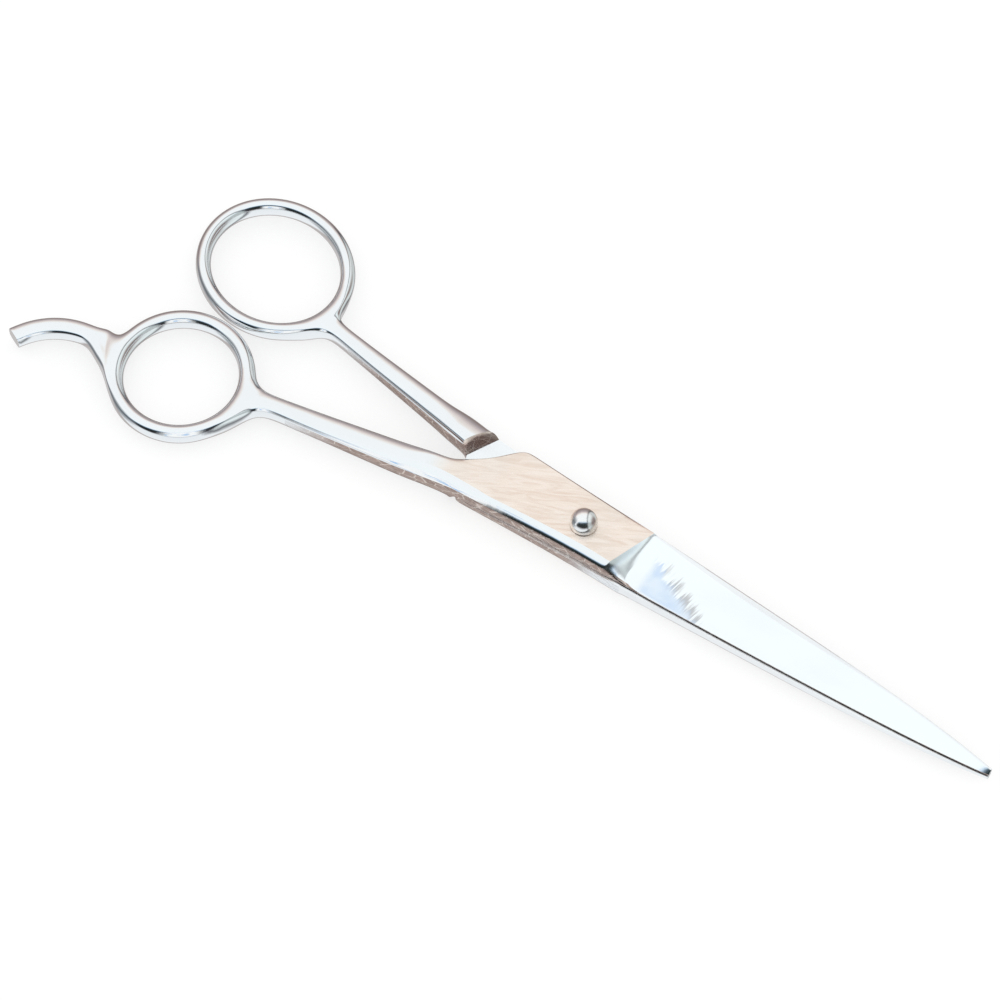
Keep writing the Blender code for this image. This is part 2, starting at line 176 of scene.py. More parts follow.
# Pivot
SHANK_RADIUS = 0.0019
HEAD_RADIUS = 0.00265
HEAD_SIDE = 0.0009           # height of the head's straight side
HEAD_CROWN = 0.0026          # height of its dome
HEAD_FILLET = 0.0002         # round at the foot of the head
SHANK_CHAMFER = 0.0001       # at the end of the shank
DOME_STEPS = 16

# Fits
RUNNING_CLEARANCE = 0.0001   # radial, in the finger half that turns on the screw
GAP = 0.0003                 # between fixed neighbours
FACE_GAP = 0.00005           # between the two joint plates, half of it on each

# Resolution
RING_SEGMENTS = 24
COLUMNS = 5                  # cage points across a half, on each face
EVEN = (0, 0.25, 0.5, 0.75, 1)
BLADE_COLUMNS = (0, 0.30, 0.62)                 # the same up to the bevel
CURVE_FIT = 0.917            # how near a closed cage of four points its smooth curve runs
TURNED_SEGMENTS = 128
SMOOTH_LEVEL = 3
SHARP_EDGE = radians(28)     # of a half, from this angle on
SHARP_RIM = radians(40)      # and of the screw

# Finishes, in the order of the material slots of each half
POLISHED, SATIN, BLADE, PAINTED_WALL, GROUND = range(5)


def mix(a, b, share):
    return a + (b - a) * share


def scaled(shares, height):
    return [share * height for share in shares]


def spine_width(x):
    s = max(x, 0) / BLADE_LENGTH
    return SPINE_ROOT - SPINE_TAPER * s - SPINE_NOSE * s ** 6 + SPINE_SPREAD * max(-x, 0)


def edge_width(x):
    s = x / BLADE_LENGTH
    return EDGE_ROOT - EDGE_TAPER * s - EDGE_BELLY * s ** 2 - EDGE_NOSE * s ** 8


def plate_edge(x):
    return PLATE_EDGE + PLATE_SPREAD * max(-x, 0)


def spine_thickness(x):
    return mix(PLATE_THICKNESS, TIP_THICKNESS, min(max(x, 0) / BLADE_LENGTH, 1))


class Cage:
    """Control cage of one half: points, faces with their finish, and the edges that stay sharp."""

    def __init__(self):
        self.mesh = bmesh.new()
        self.crease = self.mesh.edges.layers.float.new("crease_edge")

    def point(self, x, y, z):
        return self.mesh.verts.new((x, y, z))

    def face(self, points, finish=POLISHED):
        face = self.mesh.faces.new(points)
        face.material_index = finish
        face.smooth = True

    def sharpen(self, a, b, amount=1.0):
        self.mesh.edges.get((a, b))[self.crease] = amount

    def row(self, low, high, spread, top, bottom):
        """One cross-section: points from the low edge to the high edge, on both faces."""
        return [[self.point(mix(low[0], high[0], f), mix(low[1], high[1], f), z)
                 for f, z in zip(spread, heights)] for heights in (top, bottom)]

    def join(self, first, second, finish=(POLISHED,) * 5):
        """Skin between two cross-sections. The finishes are for the low column of the top, the rest
        of the top, its high column, both side walls, and the under face."""
        top = [finish[0]] + [finish[1]] * (COLUMNS - 3) + [finish[2]]
        under = [finish[4]] * (COLUMNS - 1)
        for here, there, skins in zip(first, second, (top, under)):
            for j, skin in enumerate(skins):
                self.face((here[j], here[j + 1], there[j + 1], there[j]), skin)
        for j in (0, COLUMNS - 1):
            self.face((first[0][j], second[0][j], second[1][j], first[1][j]), finish[3])

    def cap(self, row, sharpness, finish=POLISHED):
        """Closes an end, with its rim as sharp as asked."""
        top, under = row
        for j in range(COLUMNS - 1):
            self.face((top[j], top[j + 1], under[j + 1], under[j]), finish)
            self.sharpen(top[j], top[j + 1], sharpness)
            self.sharpen(under[j], under[j + 1], sharpness)
        for j in (0, COLUMNS - 1):
            self.sharpen(top[j], under[j], sharpness)


def ring_centre(half):
    """Middle of the ring: its bar stops short of the line of symmetry."""
    semi_a, semi_b, tilt = half["hole"]
    half_width = ((semi_a * sin(tilt)) ** 2 + (semi_b * cos(tilt)) ** 2) ** 0.5
    return Vector((-half["reach"], -half_width - half["bar"] - half["clear"]))


def tail_reach(half):
    """Pivot to the plate's rear corner."""
    return STEP_REACH - half["tail"]


def ring_cage(cage, half, openings):
    """Ring of round bar; openings lists the segments whose outer wall a strip grows from."""
    semi_a, semi_b, tilt = half["hole"]
    centre = ring_centre(half).to_3d()
    turn = Matrix.Rotation(tilt, 3, "Z")
    bar = half["bar"]
    slack = bar * (1 / CURVE_FIT - 1) / 2
    fit = 3 / (2 + cos(2 * pi / RING_SEGMENTS))
    half_height = HANDLE_THICKNESS / 2 / CURVE_FIT
    stations = []
    for i in range(RING_SEGMENTS):
        local = 2 * pi * i / RING_SEGMENTS - tilt
        points = []
        for grow, side in ((-slack, 1), (bar + slack, 1), (bar + slack, -1), (-slack, -1)):
            spot = centre + fit * (turn @ Vector(((semi_a + grow) * cos(local),
                                                  (semi_b + grow) * sin(local), 0)))
            points.append(cage.point(spot.x, spot.y, side * half_height))
        stations.append(points)
    for i in range(RING_SEGMENTS):
        here, there = stations[i], stations[(i + 1) % RING_SEGMENTS]
        for k in range(4):
            if k == 1 and i in openings:
                continue
            cage.face((here[k], here[(k + 1) % 4], there[(k + 1) % 4], there[k]))
    return stations


def opening_at(angle):
    """The ring segments that a strip of the cage leaves from, centred on an angle."""
    middle = round(angle / (2 * pi) * RING_SEGMENTS)
    first = middle - (COLUMNS - 1) // 2
    return [(first + k) % RING_SEGMENTS for k in range(COLUMNS)]


def root_row(stations, picks):
    return [[stations[i][1] for i in picks], [stations[i][2] for i in picks]]


def ring_reach(half):
    """Ring centre to the outside of its bar, taken as a circle."""
    return (half["hole"][0] + half["hole"][1]) / 2 + half["bar"]


def shank_rows(cage, half):
    """Cross-sections from the ring to the heel, each square to the shank."""
    leave = Vector((cos(half["angle"]), sin(half["angle"])))
    start = ring_centre(half) + ring_reach(half) * leave
    finish = Vector((-STEP_REACH - HEEL_RUN, -half["offset"]))
    along = (finish - start).normalized()
    across = Vector((-along.y, along.x))
    rows = []
    for share in SHANK_STATIONS:
        width = mix(half["neck"], half["heel"], share)
        fillet = max(0, 1 - share / FLARE_END) ** FLARE_CURVE
        thinning = max(0, share - THINNING_START) / (1 - THINNING_START)
        top = mix(HANDLE_THICKNESS / 2, PLATE_THICKNESS, thinning)
        low = mix(HANDLE_THICKNESS / 2, HEEL_THICKNESS, thinning)
        spot = start.lerp(finish, share)
        rows.append(cage.row(spot - across * (width / 2 + half["flare_low"] * fillet),
                             spot + across * (width / 2 + half["flare_high"] * fillet), EVEN,
                             scaled(CROWN, top), scaled(CROWN, -low)))
    return rows


def edge_spread(low, high, border, last):
    """Shares across a row whose second point is a border's width in from the low edge."""
    width = (Vector(high) - Vector(low)).length
    first = border / width
    return (0, first, mix(first, last, 0.5), last, 1)


def heel_rows(cage, half):
    """Where the round shank turns into the flat plate, and the step on its inner side."""
    t = PLATE_THICKNESS
    belly = scaled(HEEL_BELLY, -HEEL_THICKNESS)
    flat = (FACE_GAP / 2,) * COLUMNS
    x_low = -STEP_REACH - HEEL_RUN + HEEL_LAG
    low = (x_low, -plate_edge(x_low) - HEEL_SWELL)
    high = (x_low - HEEL_LEAN, HEEL_INNER)
    rows = [cage.row(low, high, edge_spread(low, high, HEEL_BORDER, HEEL_LAST),
                     scaled(HEEL_CROWN, t), belly)]
    for run, under, (rise, border) in zip((0.0, STEP_RUN), (belly, flat), STEP_ROWS):
        x_low = -STEP_REACH + STEP_SLANT / 2 + run
        low = (x_low, -plate_edge(x_low))
        high = (-STEP_REACH - STEP_SLANT / 2 + run, rise)
        rows.append(cage.row(low, high, edge_spread(low, high, border, STEP_LAST),
                             scaled(STEP_CROWN, t), under))
    for lean, rise in TAIL_ROWS:
        x_high = -tail_reach(half) - lean * half["lean"]
        x_low = x_high + TAIL_SKEW - TAIL_EASE
        low = (x_low, -plate_edge(x_low))
        high = (x_high, rise)
        rows.append(cage.row(low, high, edge_spread(low, high, PLATE_ROUND, TAIL_LAST),
                             scaled(TAIL_CROWN, t), flat))
    return rows


def plate_rows(cage, half):
    """Flat joint plate, from its rear corner to where the blade is ground."""
    t = PLATE_THICKNESS
    tail = tail_reach(half)
    corner = TAIL_SKEW - tail
    spots = ((corner, -tail), (corner + CORNER_RUN[0], CORNER_RUN[1] - tail), *PLATE_ROWS,
             (PLATE_FRONT + PLATE_LAST[0], PLATE_FRONT + PLATE_LAST[1]),
             (PLATE_FRONT, PLATE_FRONT + GRIND_SKEW))
    rows = []
    for x_low, x_high in spots:
        low = (x_low, -plate_edge(x_low))
        high = (x_high, spine_width(x_high))
        width = (Vector(high) - Vector(low)).length
        fade = min(max(x_high / (PLATE_FRONT + GRIND_SKEW), 0), 1)
        chamfer = mix(half["chamfer"], BEVEL_MIN, fade)
        drop = chamfer * mix(1, BEVEL_SLOPE, fade)
        rows.append(cage.row(low, high, edge_spread(low, high, PLATE_ROUND, 1 - chamfer / width),
                             (EDGE_SHOULDER * t, t, t, t, t - drop), (FACE_GAP / 2,) * COLUMNS))
    return rows


def blade_row(cage, x_low, x_high, lift=0.0):
    """Ground blade: one slope from the bevelled spine down to the cutting edge."""
    width = edge_width(x_low) + spine_width(x_high)
    thick = spine_thickness(x_high)
    share = min(max((x_high / BLADE_LENGTH - BEVEL_START) / BEVEL_SPAN, 0), 1)
    bevel = min(BEVEL_MIN + BEVEL_SWELL * sin(pi * share), BEVEL_LIMIT * width)
    spread = (*BLADE_COLUMNS, 1 - bevel / width, 1)
    top = [mix(EDGE_THICKNESS, thick, f / spread[3]) for f in spread[:4]]
    top = [mix(z, thick, lift * (1 - f)) for z, f in zip(top, spread)]
    top.append(thick - BEVEL_SLOPE * bevel)
    return cage.row((x_low, -edge_width(x_low)), (x_high, spine_width(x_high)), spread,
                    top, (BLADE_GAP / 2,) * COLUMNS)


def blade_rows(cage):
    """The grinding facet in front of the plate, then the blade to its tip."""
    rows = [blade_row(cage, PLATE_FRONT + low, PLATE_FRONT + high, lift)
            for low, high, lift in GRIND_ROWS]
    first = (PLATE_FRONT + GRIND_ROWS[-1][1]) / BLADE_LENGTH
    for share in BLADE_STATIONS:
        x = BLADE_LENGTH * mix(first, 1, share)
        rows.append(blade_row(cage, x, x))
    return rows


def sharpen_along(cage, rows, face, column, amount=1.0):
    """Sharpens the line that one column of points makes over a stretch of rows."""
    for first, second in zip(rows, rows[1:]):
        cage.sharpen(first[face][column], second[face][column], amount)


def sharpen_across(cage, points):
    for first, second in zip(points, points[1:]):
        cage.sharpen(first, second)


def sharpen_sheet(cage, heel, plate, blade, corner):
    """Sharp lines of the flat-ground part: its inner face, the plate's borders and the blade."""
    last = COLUMNS - 1
    for column in (0, last):
        sharpen_along(cage, heel[1:] + plate + blade, 1, column)
    sharpen_along(cage, heel[2:] + plate + blade, 0, last - 1)
    sharpen_along(cage, heel[3:] + plate, 0, 1)
    sharpen_along(cage, plate + blade, 0, last, SPINE_SHARPNESS)
    sharpen_along(cage, blade[1:], 0, 0)
    for points in (heel[1][1], heel[2][1], plate[-1][0], blade[1][0]):
        sharpen_across(cage, points)
    cage.sharpen(plate[0][0][last], plate[0][1][last], corner)


def tang_rows(cage, half):
    """Curved finger rest: a web that narrows away from the ring, and one bend."""
    leave = Vector((cos(TANG_START), sin(TANG_START)))
    start = ring_centre(half) + ring_reach(half) * leave
    finish = start + TANG_LEAD * Vector((cos(WEB_HEADING), sin(WEB_HEADING)))
    centre = finish + TANG_BEND * Vector((-sin(TANG_HEADING), cos(TANG_HEADING)))
    rows = []
    for share in WEB_STATIONS:
        heading = mix(TANG_ROOT, TANG_HEADING, share ** 2)
        across = Vector((sin(heading), -cos(heading)))
        reach = TANG_WIDTH / 2 + TANG_FLARE * (1 - share)
        heights = [HANDLE_THICKNESS / 2 * mix(web, crown, share) for web, crown in zip(WEB, CROWN)]
        middle = start.lerp(finish, share)
        rows.append(cage.row(middle + across * reach, middle - across * reach, EVEN,
                             heights, [-h for h in heights]))
    for share in BEND_STATIONS:
        heading = TANG_HEADING + TANG_SWEEP * share
        across = Vector((sin(heading), -cos(heading)))
        middle = centre + TANG_BEND * across
        height = mix(HANDLE_THICKNESS, TANG_THICKNESS, share) / 2
        rows.append(cage.row(middle + across * TANG_WIDTH / 2, middle - across * TANG_WIDTH / 2,
                             EVEN, scaled(CROWN, height), scaled(CROWN, -height)))
    return rows


def half_mesh(name, half):
    """Control mesh of one half, with a finish for each stretch of its cross-sections."""
    cage = Cage()
    shank_picks = opening_at(half["root"])
    tang_picks = opening_at(TANG_ROOT) if half["rest"] else []
    stations = ring_cage(cage, half, shank_picks[:-1] + tang_picks[:-1])
    heel = heel_rows(cage, half)
    plate = plate_rows(cage, half)
    blade = blade_rows(cage)
    shank = [root_row(stations, shank_picks)] + shank_rows(cage, half) + heel[:1]
    # The upper half's blade walls take the painted wall: painted shade of the dark gap under its
    # cutting edge.
    land = PAINTED_WALL if half["rest"] else POLISHED
    stretches = [(shank[:4], (POLISHED,) * 5),
                 (shank[3:], (POLISHED, POLISHED, POLISHED, PAINTED_WALL, POLISHED)),
                 (heel[:3], (POLISHED, SATIN, SATIN, PAINTED_WALL, POLISHED)),
                 (heel[2:] + plate, (POLISHED, SATIN, SATIN, PAINTED_WALL, GROUND)),
                 ([plate[-1]] + blade, (BLADE, BLADE, GROUND, land, GROUND))]
    for rows, finish in stretches:
        for first, second in zip(rows, rows[1:]):
            cage.join(first, second, finish)
    sharpen_sheet(cage, heel, plate, blade, half["corner"])
    cage.cap(blade[-1], TIP_SHARPNESS, BLADE)
    if half["rest"]:
        rest = [root_row(stations, tang_picks)] + tang_rows(cage, half)
        for first, second in zip(rest, rest[1:]):
            cage.join(first, second)
        cage.cap(rest[-1], REST_SHARPNESS)
    bmesh.ops.recalc_face_normals(cage.mesh, faces=cage.mesh.faces)
    mesh = bpy.data.meshes.new(name)
    cage.mesh.to_mesh(mesh)
    cage.mesh.free()
    return mesh


def link(name, data):
    piece = bpy.data.objects.new(name, data)
    bpy.context.scene.collection.objects.link(piece)
    return piece


def bore_cutter(radius):
    mesh = bpy.data.meshes.new("bore")
    shape = bmesh.new()
    bmesh.ops.create_cone(shape, cap_ends=True, segments=TURNED_SEGMENTS, radius1=radius,
                          radius2=radius, depth=4 * PLATE_THICKNESS)
    shape.to_mesh(mesh)
    shape.free()
    cutter = link("bore", mesh)
    cutter.location.z = PLATE_THICKNESS
    return cutter


def add_half(name, half, placing, bore, steels):
    """One half as a smooth mesh with its bore cut."""
    mesh = half_mesh(name, half)
    mesh.transform(placing)
    for steel in steels:
        mesh.materials.append(steel)
    piece = link(name, mesh)
    smooth = piece.modifiers.new("smooth", "SUBSURF")
    smooth.levels = SMOOTH_LEVEL
    smooth.render_levels = SMOOTH_LEVEL
    cutter = bore_cutter(bore)
    cut = piece.modifiers.new("bore", "BOOLEAN")
    cut.operation = "DIFFERENCE"
    cut.solver = "EXACT"
    cut.object = cutter
    graph = bpy.context.evaluated_depsgraph_get()
    final = bpy.data.meshes.new_from_object(piece.evaluated_get(graph))
    piece.modifiers.clear()
    piece.data = final
    bpy.data.objects.remove(cutter)
    final.set_sharp_from_angle(angle=SHARP_EDGE)
    return piece


def add_pivot_screw(name, steel):
    """Domed head above, plain shank through both plates, and a tail flush with the lower plate."""
    seat = 2 * PLATE_THICKNESS + FACE_GAP
    top = seat + HEAD_SIDE
    profile = [(0, 0), (SHANK_RADIUS - SHANK_CHAMFER, 0), (SHANK_RADIUS, SHANK_CHAMFER),
               (SHANK_RADIUS, seat), (HEAD_RADIUS - HEAD_FILLET, seat),
               (HEAD_RADIUS, seat + HEAD_FILLET), (HEAD_RADIUS, top)]
    for k in range(1, DOME_STEPS):
        lean = k / DOME_STEPS * pi / 2
        profile.append((HEAD_RADIUS * cos(lean), top + HEAD_CROWN * sin(lean)))
    profile.append((0, top + HEAD_CROWN))
    shape = bmesh.new()
    ends = [shape.verts.new((0, 0, z)) for z in (0, top + HEAD_CROWN)]
    turn = [2 * pi * i / TURNED_SEGMENTS for i in range(TURNED_SEGMENTS)]
    rings = [[shape.verts.new((r * cos(a), r * sin(a), z)) for a in turn] for r, z in profile[1:-1]]
    for i in range(TURNED_SEGMENTS):
        j = (i + 1) % TURNED_SEGMENTS
        shape.faces.new((ends[0], rings[0][j], rings[0][i]))
        for lower, upper in zip(rings, rings[1:]):
            shape.faces.new((lower[i], lower[j], upper[j], upper[i]))
        shape.faces.new((rings[-1][i], rings[-1][j], ends[1]))
    mesh = bpy.data.meshes.new(name)
    shape.to_mesh(mesh)
    shape.free()
    mesh.materials.append(steel)
    mesh.shade_smooth()
    mesh.set_sharp_from_angle(angle=SHARP_RIM)
    return link(name, mesh)


class Nodes:
    """Short way to write a node tree."""

    def __init__(self, tree):
        self.tree = tree

    def add(self, kind, **settings):
        node = self.tree.nodes.new(kind)
        for key, value in settings.items():
            setattr(node, key, value)
        return node

    def put(self, value, socket):
        if isinstance(value, bpy.types.NodeSocket):
            self.tree.links.new(value, socket)
        else:
            socket.default_value = value

    def math(self, operation, a, b=0.0):
        node = self.add("ShaderNodeMath", operation=operation)
        self.put(a, node.inputs[0])
        self.put(b, node.inputs[1])
        return node.outputs[0]

    def product(self, first, *others):
        for other in others:
            first = self.math("MULTIPLY", first, other)
        return first

    def split(self, vector):
        node = self.add("ShaderNodeSeparateXYZ")
        self.put(vector, node.inputs[0])
        return node.outputs

    def along(self, vector, axis):
        """How far a vector reaches along an axis."""
        node = self.add("ShaderNodeVectorMath", operation="DOT_PRODUCT")
        self.put(vector, node.inputs[0])
        node.inputs[1].default_value = axis
        return node.outputs["Value"]

    def stretch(self, vector, cells, turn=0.0):
        """Coordinates turned about Z, with this many noise cells to the metre on each axis."""
        node = self.add("ShaderNodeMapping", vector_type="TEXTURE")
        self.put(vector, node.inputs["Vector"])
        node.inputs["Rotation"].default_value = (0, 0, turn)
        node.inputs["Scale"].default_value = [1 / amount for amount in cells]
        return node.outputs[0]

    def noise(self, vector, detail=4.0, roughness=0.55, distortion=0.0):
        node = self.add("ShaderNodeTexNoise")
        self.put(vector, node.inputs["Vector"])
        node.inputs["Scale"].default_value = 1.0
        node.inputs["Detail"].default_value = detail
        node.inputs["Roughness"].default_value = roughness
        node.inputs["Distortion"].default_value = distortion
        return node.outputs[0]

    def span(self, value, from_low, from_high, to_low=0.0, to_high=1.0):
        """Smooth step from one range to another."""
        node = self.add("ShaderNodeMapRange", interpolation_type="SMOOTHSTEP")
        self.put(value, node.inputs[0])
        for socket, number in zip(node.inputs[1:5], (from_low, from_high, to_low, to_high)):
            socket.default_value = number
        return node.outputs[0]

    def blend(self, share, a, b):
        node = self.add("ShaderNodeMix", data_type="RGBA")
        self.put(share, node.inputs[0])
        self.put(a, node.inputs[6])
        self.put(b, node.inputs[7])
        return node.outputs[2]

    def ramp(self, value, stops):
        node = self.add("ShaderNodeValToRGB")
        self.put(value, node.inputs[0])
        ramp = node.color_ramp
        while len(ramp.elements) < len(stops):
            ramp.elements.new(1.0)
        for element, (place, colour) in zip(ramp.elements, stops):
            element.position = place
            element.color = (*colour, 1)
        return node.outputs[0]

    def bump(self, height, distance, normal=None):
        node = self.add("ShaderNodeBump")
        self.put(height, node.inputs["Height"])
        node.inputs["Distance"].default_value = distance
        if normal is not None:
            self.put(normal, node.inputs["Normal"])
        return node.outputs[0]


def new_material(name):
    """A material, its node tree and its Principled shader."""
    material = bpy.data.materials.new(name)
    material.use_nodes = True
    return material, Nodes(material.node_tree), material.node_tree.nodes["Principled BSDF"]


def steel(name, colour, roughness, build):
    """A bare metal. build returns its colour, roughness and normal sockets."""
    material, tree, shader = new_material(name)
    shader.inputs["Metallic"].default_value = 1.0
    place = tree.add("ShaderNodeTexCoord").outputs["Object"]
    tint, rough, normal = build(tree, place, (*colour, 1), roughness)
    tree.put(tint, shader.inputs["Base Color"])
    tree.put(rough, shader.inputs["Roughness"])
    tree.put(normal, shader.inputs["Normal"])
    return material


# Tints that vary the steels
DULLED = (0.70, 0.69, 0.70, 1)          # duller patches of the polish
WARMED = (0.78, 0.75, 0.70, 1)          # broad patches of the lapped plate
HEEL_TINT = (0.86, 0.87, 0.88, 1)       # of the heel, where the lapping fades out
HEEL_ROUGHNESS = 0.09
CLOUDED = (0.78, 0.81, 0.86, 1)         # faint clouds of ground steel
BLUE_REFLECTION_TINT = (0.60, 0.72, 0.90, 1)    # painted reflection of a blue light: a bluish patch on the blade
DARK_REFLECTION_STREAK_TINT = (0.36, 0.34, 0.34, 1)     # painted dark reflection: dark streaks at its far border
DARK_REFLECTION_TINT = (0.23, 0.16, 0.14, 1)      # darkest patches of the painted brown floor reflection on the walls
HAIRLINE_TINT = (0.92, 0.83, 0.75, 1)      # bright hairlines through it
BARE_WALL_TINT = (0.88, 0.90, 0.92, 1)     # plain steel where the painted brown reflection clears

# Where they lie, along X and Y from the pivot
LAPPED_REAR = (-STEP_REACH - HEEL_RUN, -STEP_REACH + 0.0010)    # the lapping starts over this stretch
BLUE_REFLECTION_CORNER = (0.0155, -0.0056)      # rear low corner of the painted blue reflection
BLUE_REFLECTION_LENGTH = 0.0145
BLUE_REFLECTION_HEIGHT = 0.0078                 # at its rear
BLUE_REFLECTION_FALL = 0.50                     # slope of its far border
BLUE_REFLECTION_RAGGED = 0.0011                 # depth of the teeth of that border
BARE_WALL_REAR = (-0.066, -0.048)          # the side walls clear up over this stretch of the shank
BARE_WALL_FRONT = (-0.0010, 0.0080)        # and over this one toward the blade
GRAIN_LAPPED = radians(27)              # direction of the lines on the plate
GRAIN_GROUND = radians(8)               # and across the blade
BLUE_REFLECTION_TEETH_TURN = radians(-14)


def polished(tree, place, colour, roughness):
    """Buffed forging: soft waviness, fine cross-grain and a few duller patches."""
    wave = tree.noise(tree.stretch(place, (160, 160, 160)), detail=2.0)
    grain = tree.noise(tree.stretch(place, (2400, 260, 260)), detail=5.0, roughness=0.65)
    patch = tree.noise(tree.stretch(place, (70, 110, 110)), detail=3.0)
    rough = tree.math("ADD", tree.span(patch, 0.35, 0.7, roughness * 0.8, roughness * 1.5),
                      tree.span(grain, 0.3, 0.8, 0.0, 0.03))
    normal = tree.bump(wave, 0.00008)
    normal = tree.bump(grain, 0.000006, normal)
    tint = tree.blend(tree.span(patch, 0.3, 0.75, 0.0, 0.12), colour, DULLED)
    return tint, rough, normal


def satin(tree, place, colour, roughness):
    """Plate lapped by hand: wavy lines like wood grain, all but flat. It fades out on the heel."""
    broad = tree.noise(tree.stretch(place, (90, 90, 90)), detail=1.0)
    lines = tree.noise(tree.stretch(place, (100, 640, 300), GRAIN_LAPPED), detail=5.0,
                       roughness=0.6, distortion=1.5)
    fine = tree.noise(tree.stretch(place, (300, 3600, 300), GRAIN_LAPPED), detail=3.0)
    rough = tree.math("ADD", tree.span(lines, 0.3, 0.7, roughness * 0.85, roughness * 1.15),
                      tree.span(fine, 0.3, 0.8, 0.0, 0.05))
    normal = tree.bump(lines, 0.00002)
    normal = tree.bump(fine, 0.000004, normal)
    light = tuple(min(1.0, c * 1.04) for c in colour[:3]) + (1,)
    dark = (colour[0] * 0.93, colour[1] * 0.88, colour[2] * 0.84, 1)
    tint = tree.blend(tree.span(lines, 0.35, 0.68), light, dark)
    tint = tree.blend(tree.span(broad, 0.35, 0.75, 0.0, 0.35), tint, WARMED)
    run = tree.split(place)["X"]
    lapped = tree.span(run, *LAPPED_REAR)
    tint = tree.blend(lapped, HEEL_TINT, tint)
    bare = tree.math("SUBTRACT", 1.0, lapped)
    rough = tree.math("ADD", tree.product(lapped, rough), tree.product(bare, HEEL_ROUGHNESS))
    return tint, rough, normal


def ground(tree, place, colour, roughness):
    """Ground across its length: fine cross-grain and faint clouds."""
    grain = tree.noise(tree.stretch(place, (3200, 240, 240), GRAIN_GROUND), detail=5.0,
                       roughness=0.7)
    cloud = tree.noise(tree.stretch(place, (60, 160, 160)), detail=3.0)
    rough = tree.math("ADD", tree.span(cloud, 0.35, 0.7, roughness * 0.9, roughness * 1.3),
                      tree.span(grain, 0.3, 0.8, 0.0, 0.05))
    normal = tree.bump(grain, 0.000005)
    normal = tree.bump(cloud, 0.00004, normal)
    tint = tree.blend(tree.span(cloud, 0.4, 0.8, 0.0, 0.2), colour, CLOUDED)
    return tint, rough, normal


def blade_ground(tree, place, colour, roughness):
    """The same with a painted reflection of a blue light near the plate: a bluish patch with a ragged
    far border, and painted dark reflection in streaks along it.
    """
    tint, rough, normal = ground(tree, place, colour, roughness)
    spot = tree.split(place)
    run = tree.math("SUBTRACT", spot["X"], BLUE_REFLECTION_CORNER[0])
    rise = tree.math("SUBTRACT", spot["Y"], BLUE_REFLECTION_CORNER[1])
    teeth = tree.noise(tree.stretch(place, (2300, 120, 120), BLUE_REFLECTION_TEETH_TURN), detail=4.0)
    cloud = tree.noise(tree.stretch(place, (210, 210, 210)), detail=2.0)
    border = tree.math("SUBTRACT", BLUE_REFLECTION_HEIGHT, tree.product(run, BLUE_REFLECTION_FALL))
    ragged = tree.math("ADD", border, tree.span(teeth, 0.3, 0.7, -BLUE_REFLECTION_RAGGED, BLUE_REFLECTION_RAGGED))
    depth = tree.math("SUBTRACT", ragged, rise)
    within = tree.product(tree.span(run, -0.0008, 0.0016),
                          tree.span(run, BLUE_REFLECTION_LENGTH - 0.0017, BLUE_REFLECTION_LENGTH, 1.0, 0.0),
                          tree.span(rise, 0.0002, 0.0010))
    patch = tree.product(within, tree.span(depth, 0.0, 0.0009),
                         tree.span(cloud, 0.30, 0.60, 0.45, 0.85))
    # painted reflection of a blue light
    tint = tree.blend(patch, tint, BLUE_REFLECTION_TINT)
    streaks = tree.product(tree.span(depth, -0.0020, 0.0001),
                           tree.span(depth, 0.0001, 0.0024, 1.0, 0.0), within,
                           tree.span(run, 0.0015, 0.0040), tree.span(teeth, 0.42, 0.58), 0.62)
    # painted dark reflection in streaks along its border
    tint = tree.blend(streaks, tint, DARK_REFLECTION_STREAK_TINT)
    rough = tree.math("ADD", rough, tree.product(patch, 0.06))
    return tint, rough, normal


def painted_wall(tree, place, colour, roughness, bare_front=1.0):
    """Side walls in a painted reflection of a brown floor, with darker patches and a net of bright
    hairlines.

    They clear up toward the ring, and by the share given toward the blade.
    """
    warp = tree.noise(tree.stretch(place, (500, 900, 900)), detail=4.0, distortion=0.8)
    hairline_cells = tree.add("ShaderNodeTexVoronoi", feature="DISTANCE_TO_EDGE")
    tree.put(tree.stretch(place, (300, 420, 900)), hairline_cells.inputs["Vector"])
    hairline_cells.inputs["Scale"].default_value = 1.0
    lines = tree.span(hairline_cells.outputs["Distance"], 0.0, 0.06, 1.0, 0.0)
    tint = tree.blend(tree.span(warp, 0.3, 0.7, 0.0, 0.5), colour, DARK_REFLECTION_TINT)
    tint = tree.blend(tree.product(lines, 0.60), tint, HAIRLINE_TINT)
    run = tree.split(place)["X"]
    bright = tree.math("ADD", tree.span(run, *BARE_WALL_REAR, 1.0, 0.0),
                       tree.span(run, *BARE_WALL_FRONT, 0.0, bare_front))
    tint = tree.blend(bright, tint, BARE_WALL_TINT)
    rough = tree.span(warp, 0.3, 0.7, roughness * 0.8, roughness * 1.3)
    normal = tree.bump(tree.math("ADD", warp, tree.product(lines, 0.5)), 0.00003)
    return tint, rough, normal


def upper_wall(tree, place, colour, roughness):
    """The walls of the upper half, which stay brown along the blade: painted shade of the gap between
    the blades.
    """
    return painted_wall(tree, place, colour, roughness, bare_front=0.0)


def half_steels(side, wall):
    """The five finishes of a half, in the order of its material slots."""
    return [steel(f"{side}_polished", (0.88, 0.89, 0.90), 0.05, polished),
            # its pinkish-beige colour is a painted reflection of a warm ceiling
            steel(f"{side}_satin", (0.90, 0.785, 0.705), 0.26, satin),
            steel(f"{side}_blade", (0.94, 0.965, 0.975), 0.15, blade_ground),
            # side walls: a painted reflection of a brown floor, and on the upper half's blade painted
            # shade of the gap between the blades
            steel(f"{side}_painted_reflection_wall", (0.46, 0.35, 0.31), 0.26, wall),
            steel(f"{side}_ground", (0.90, 0.915, 0.925), 0.20, ground)]


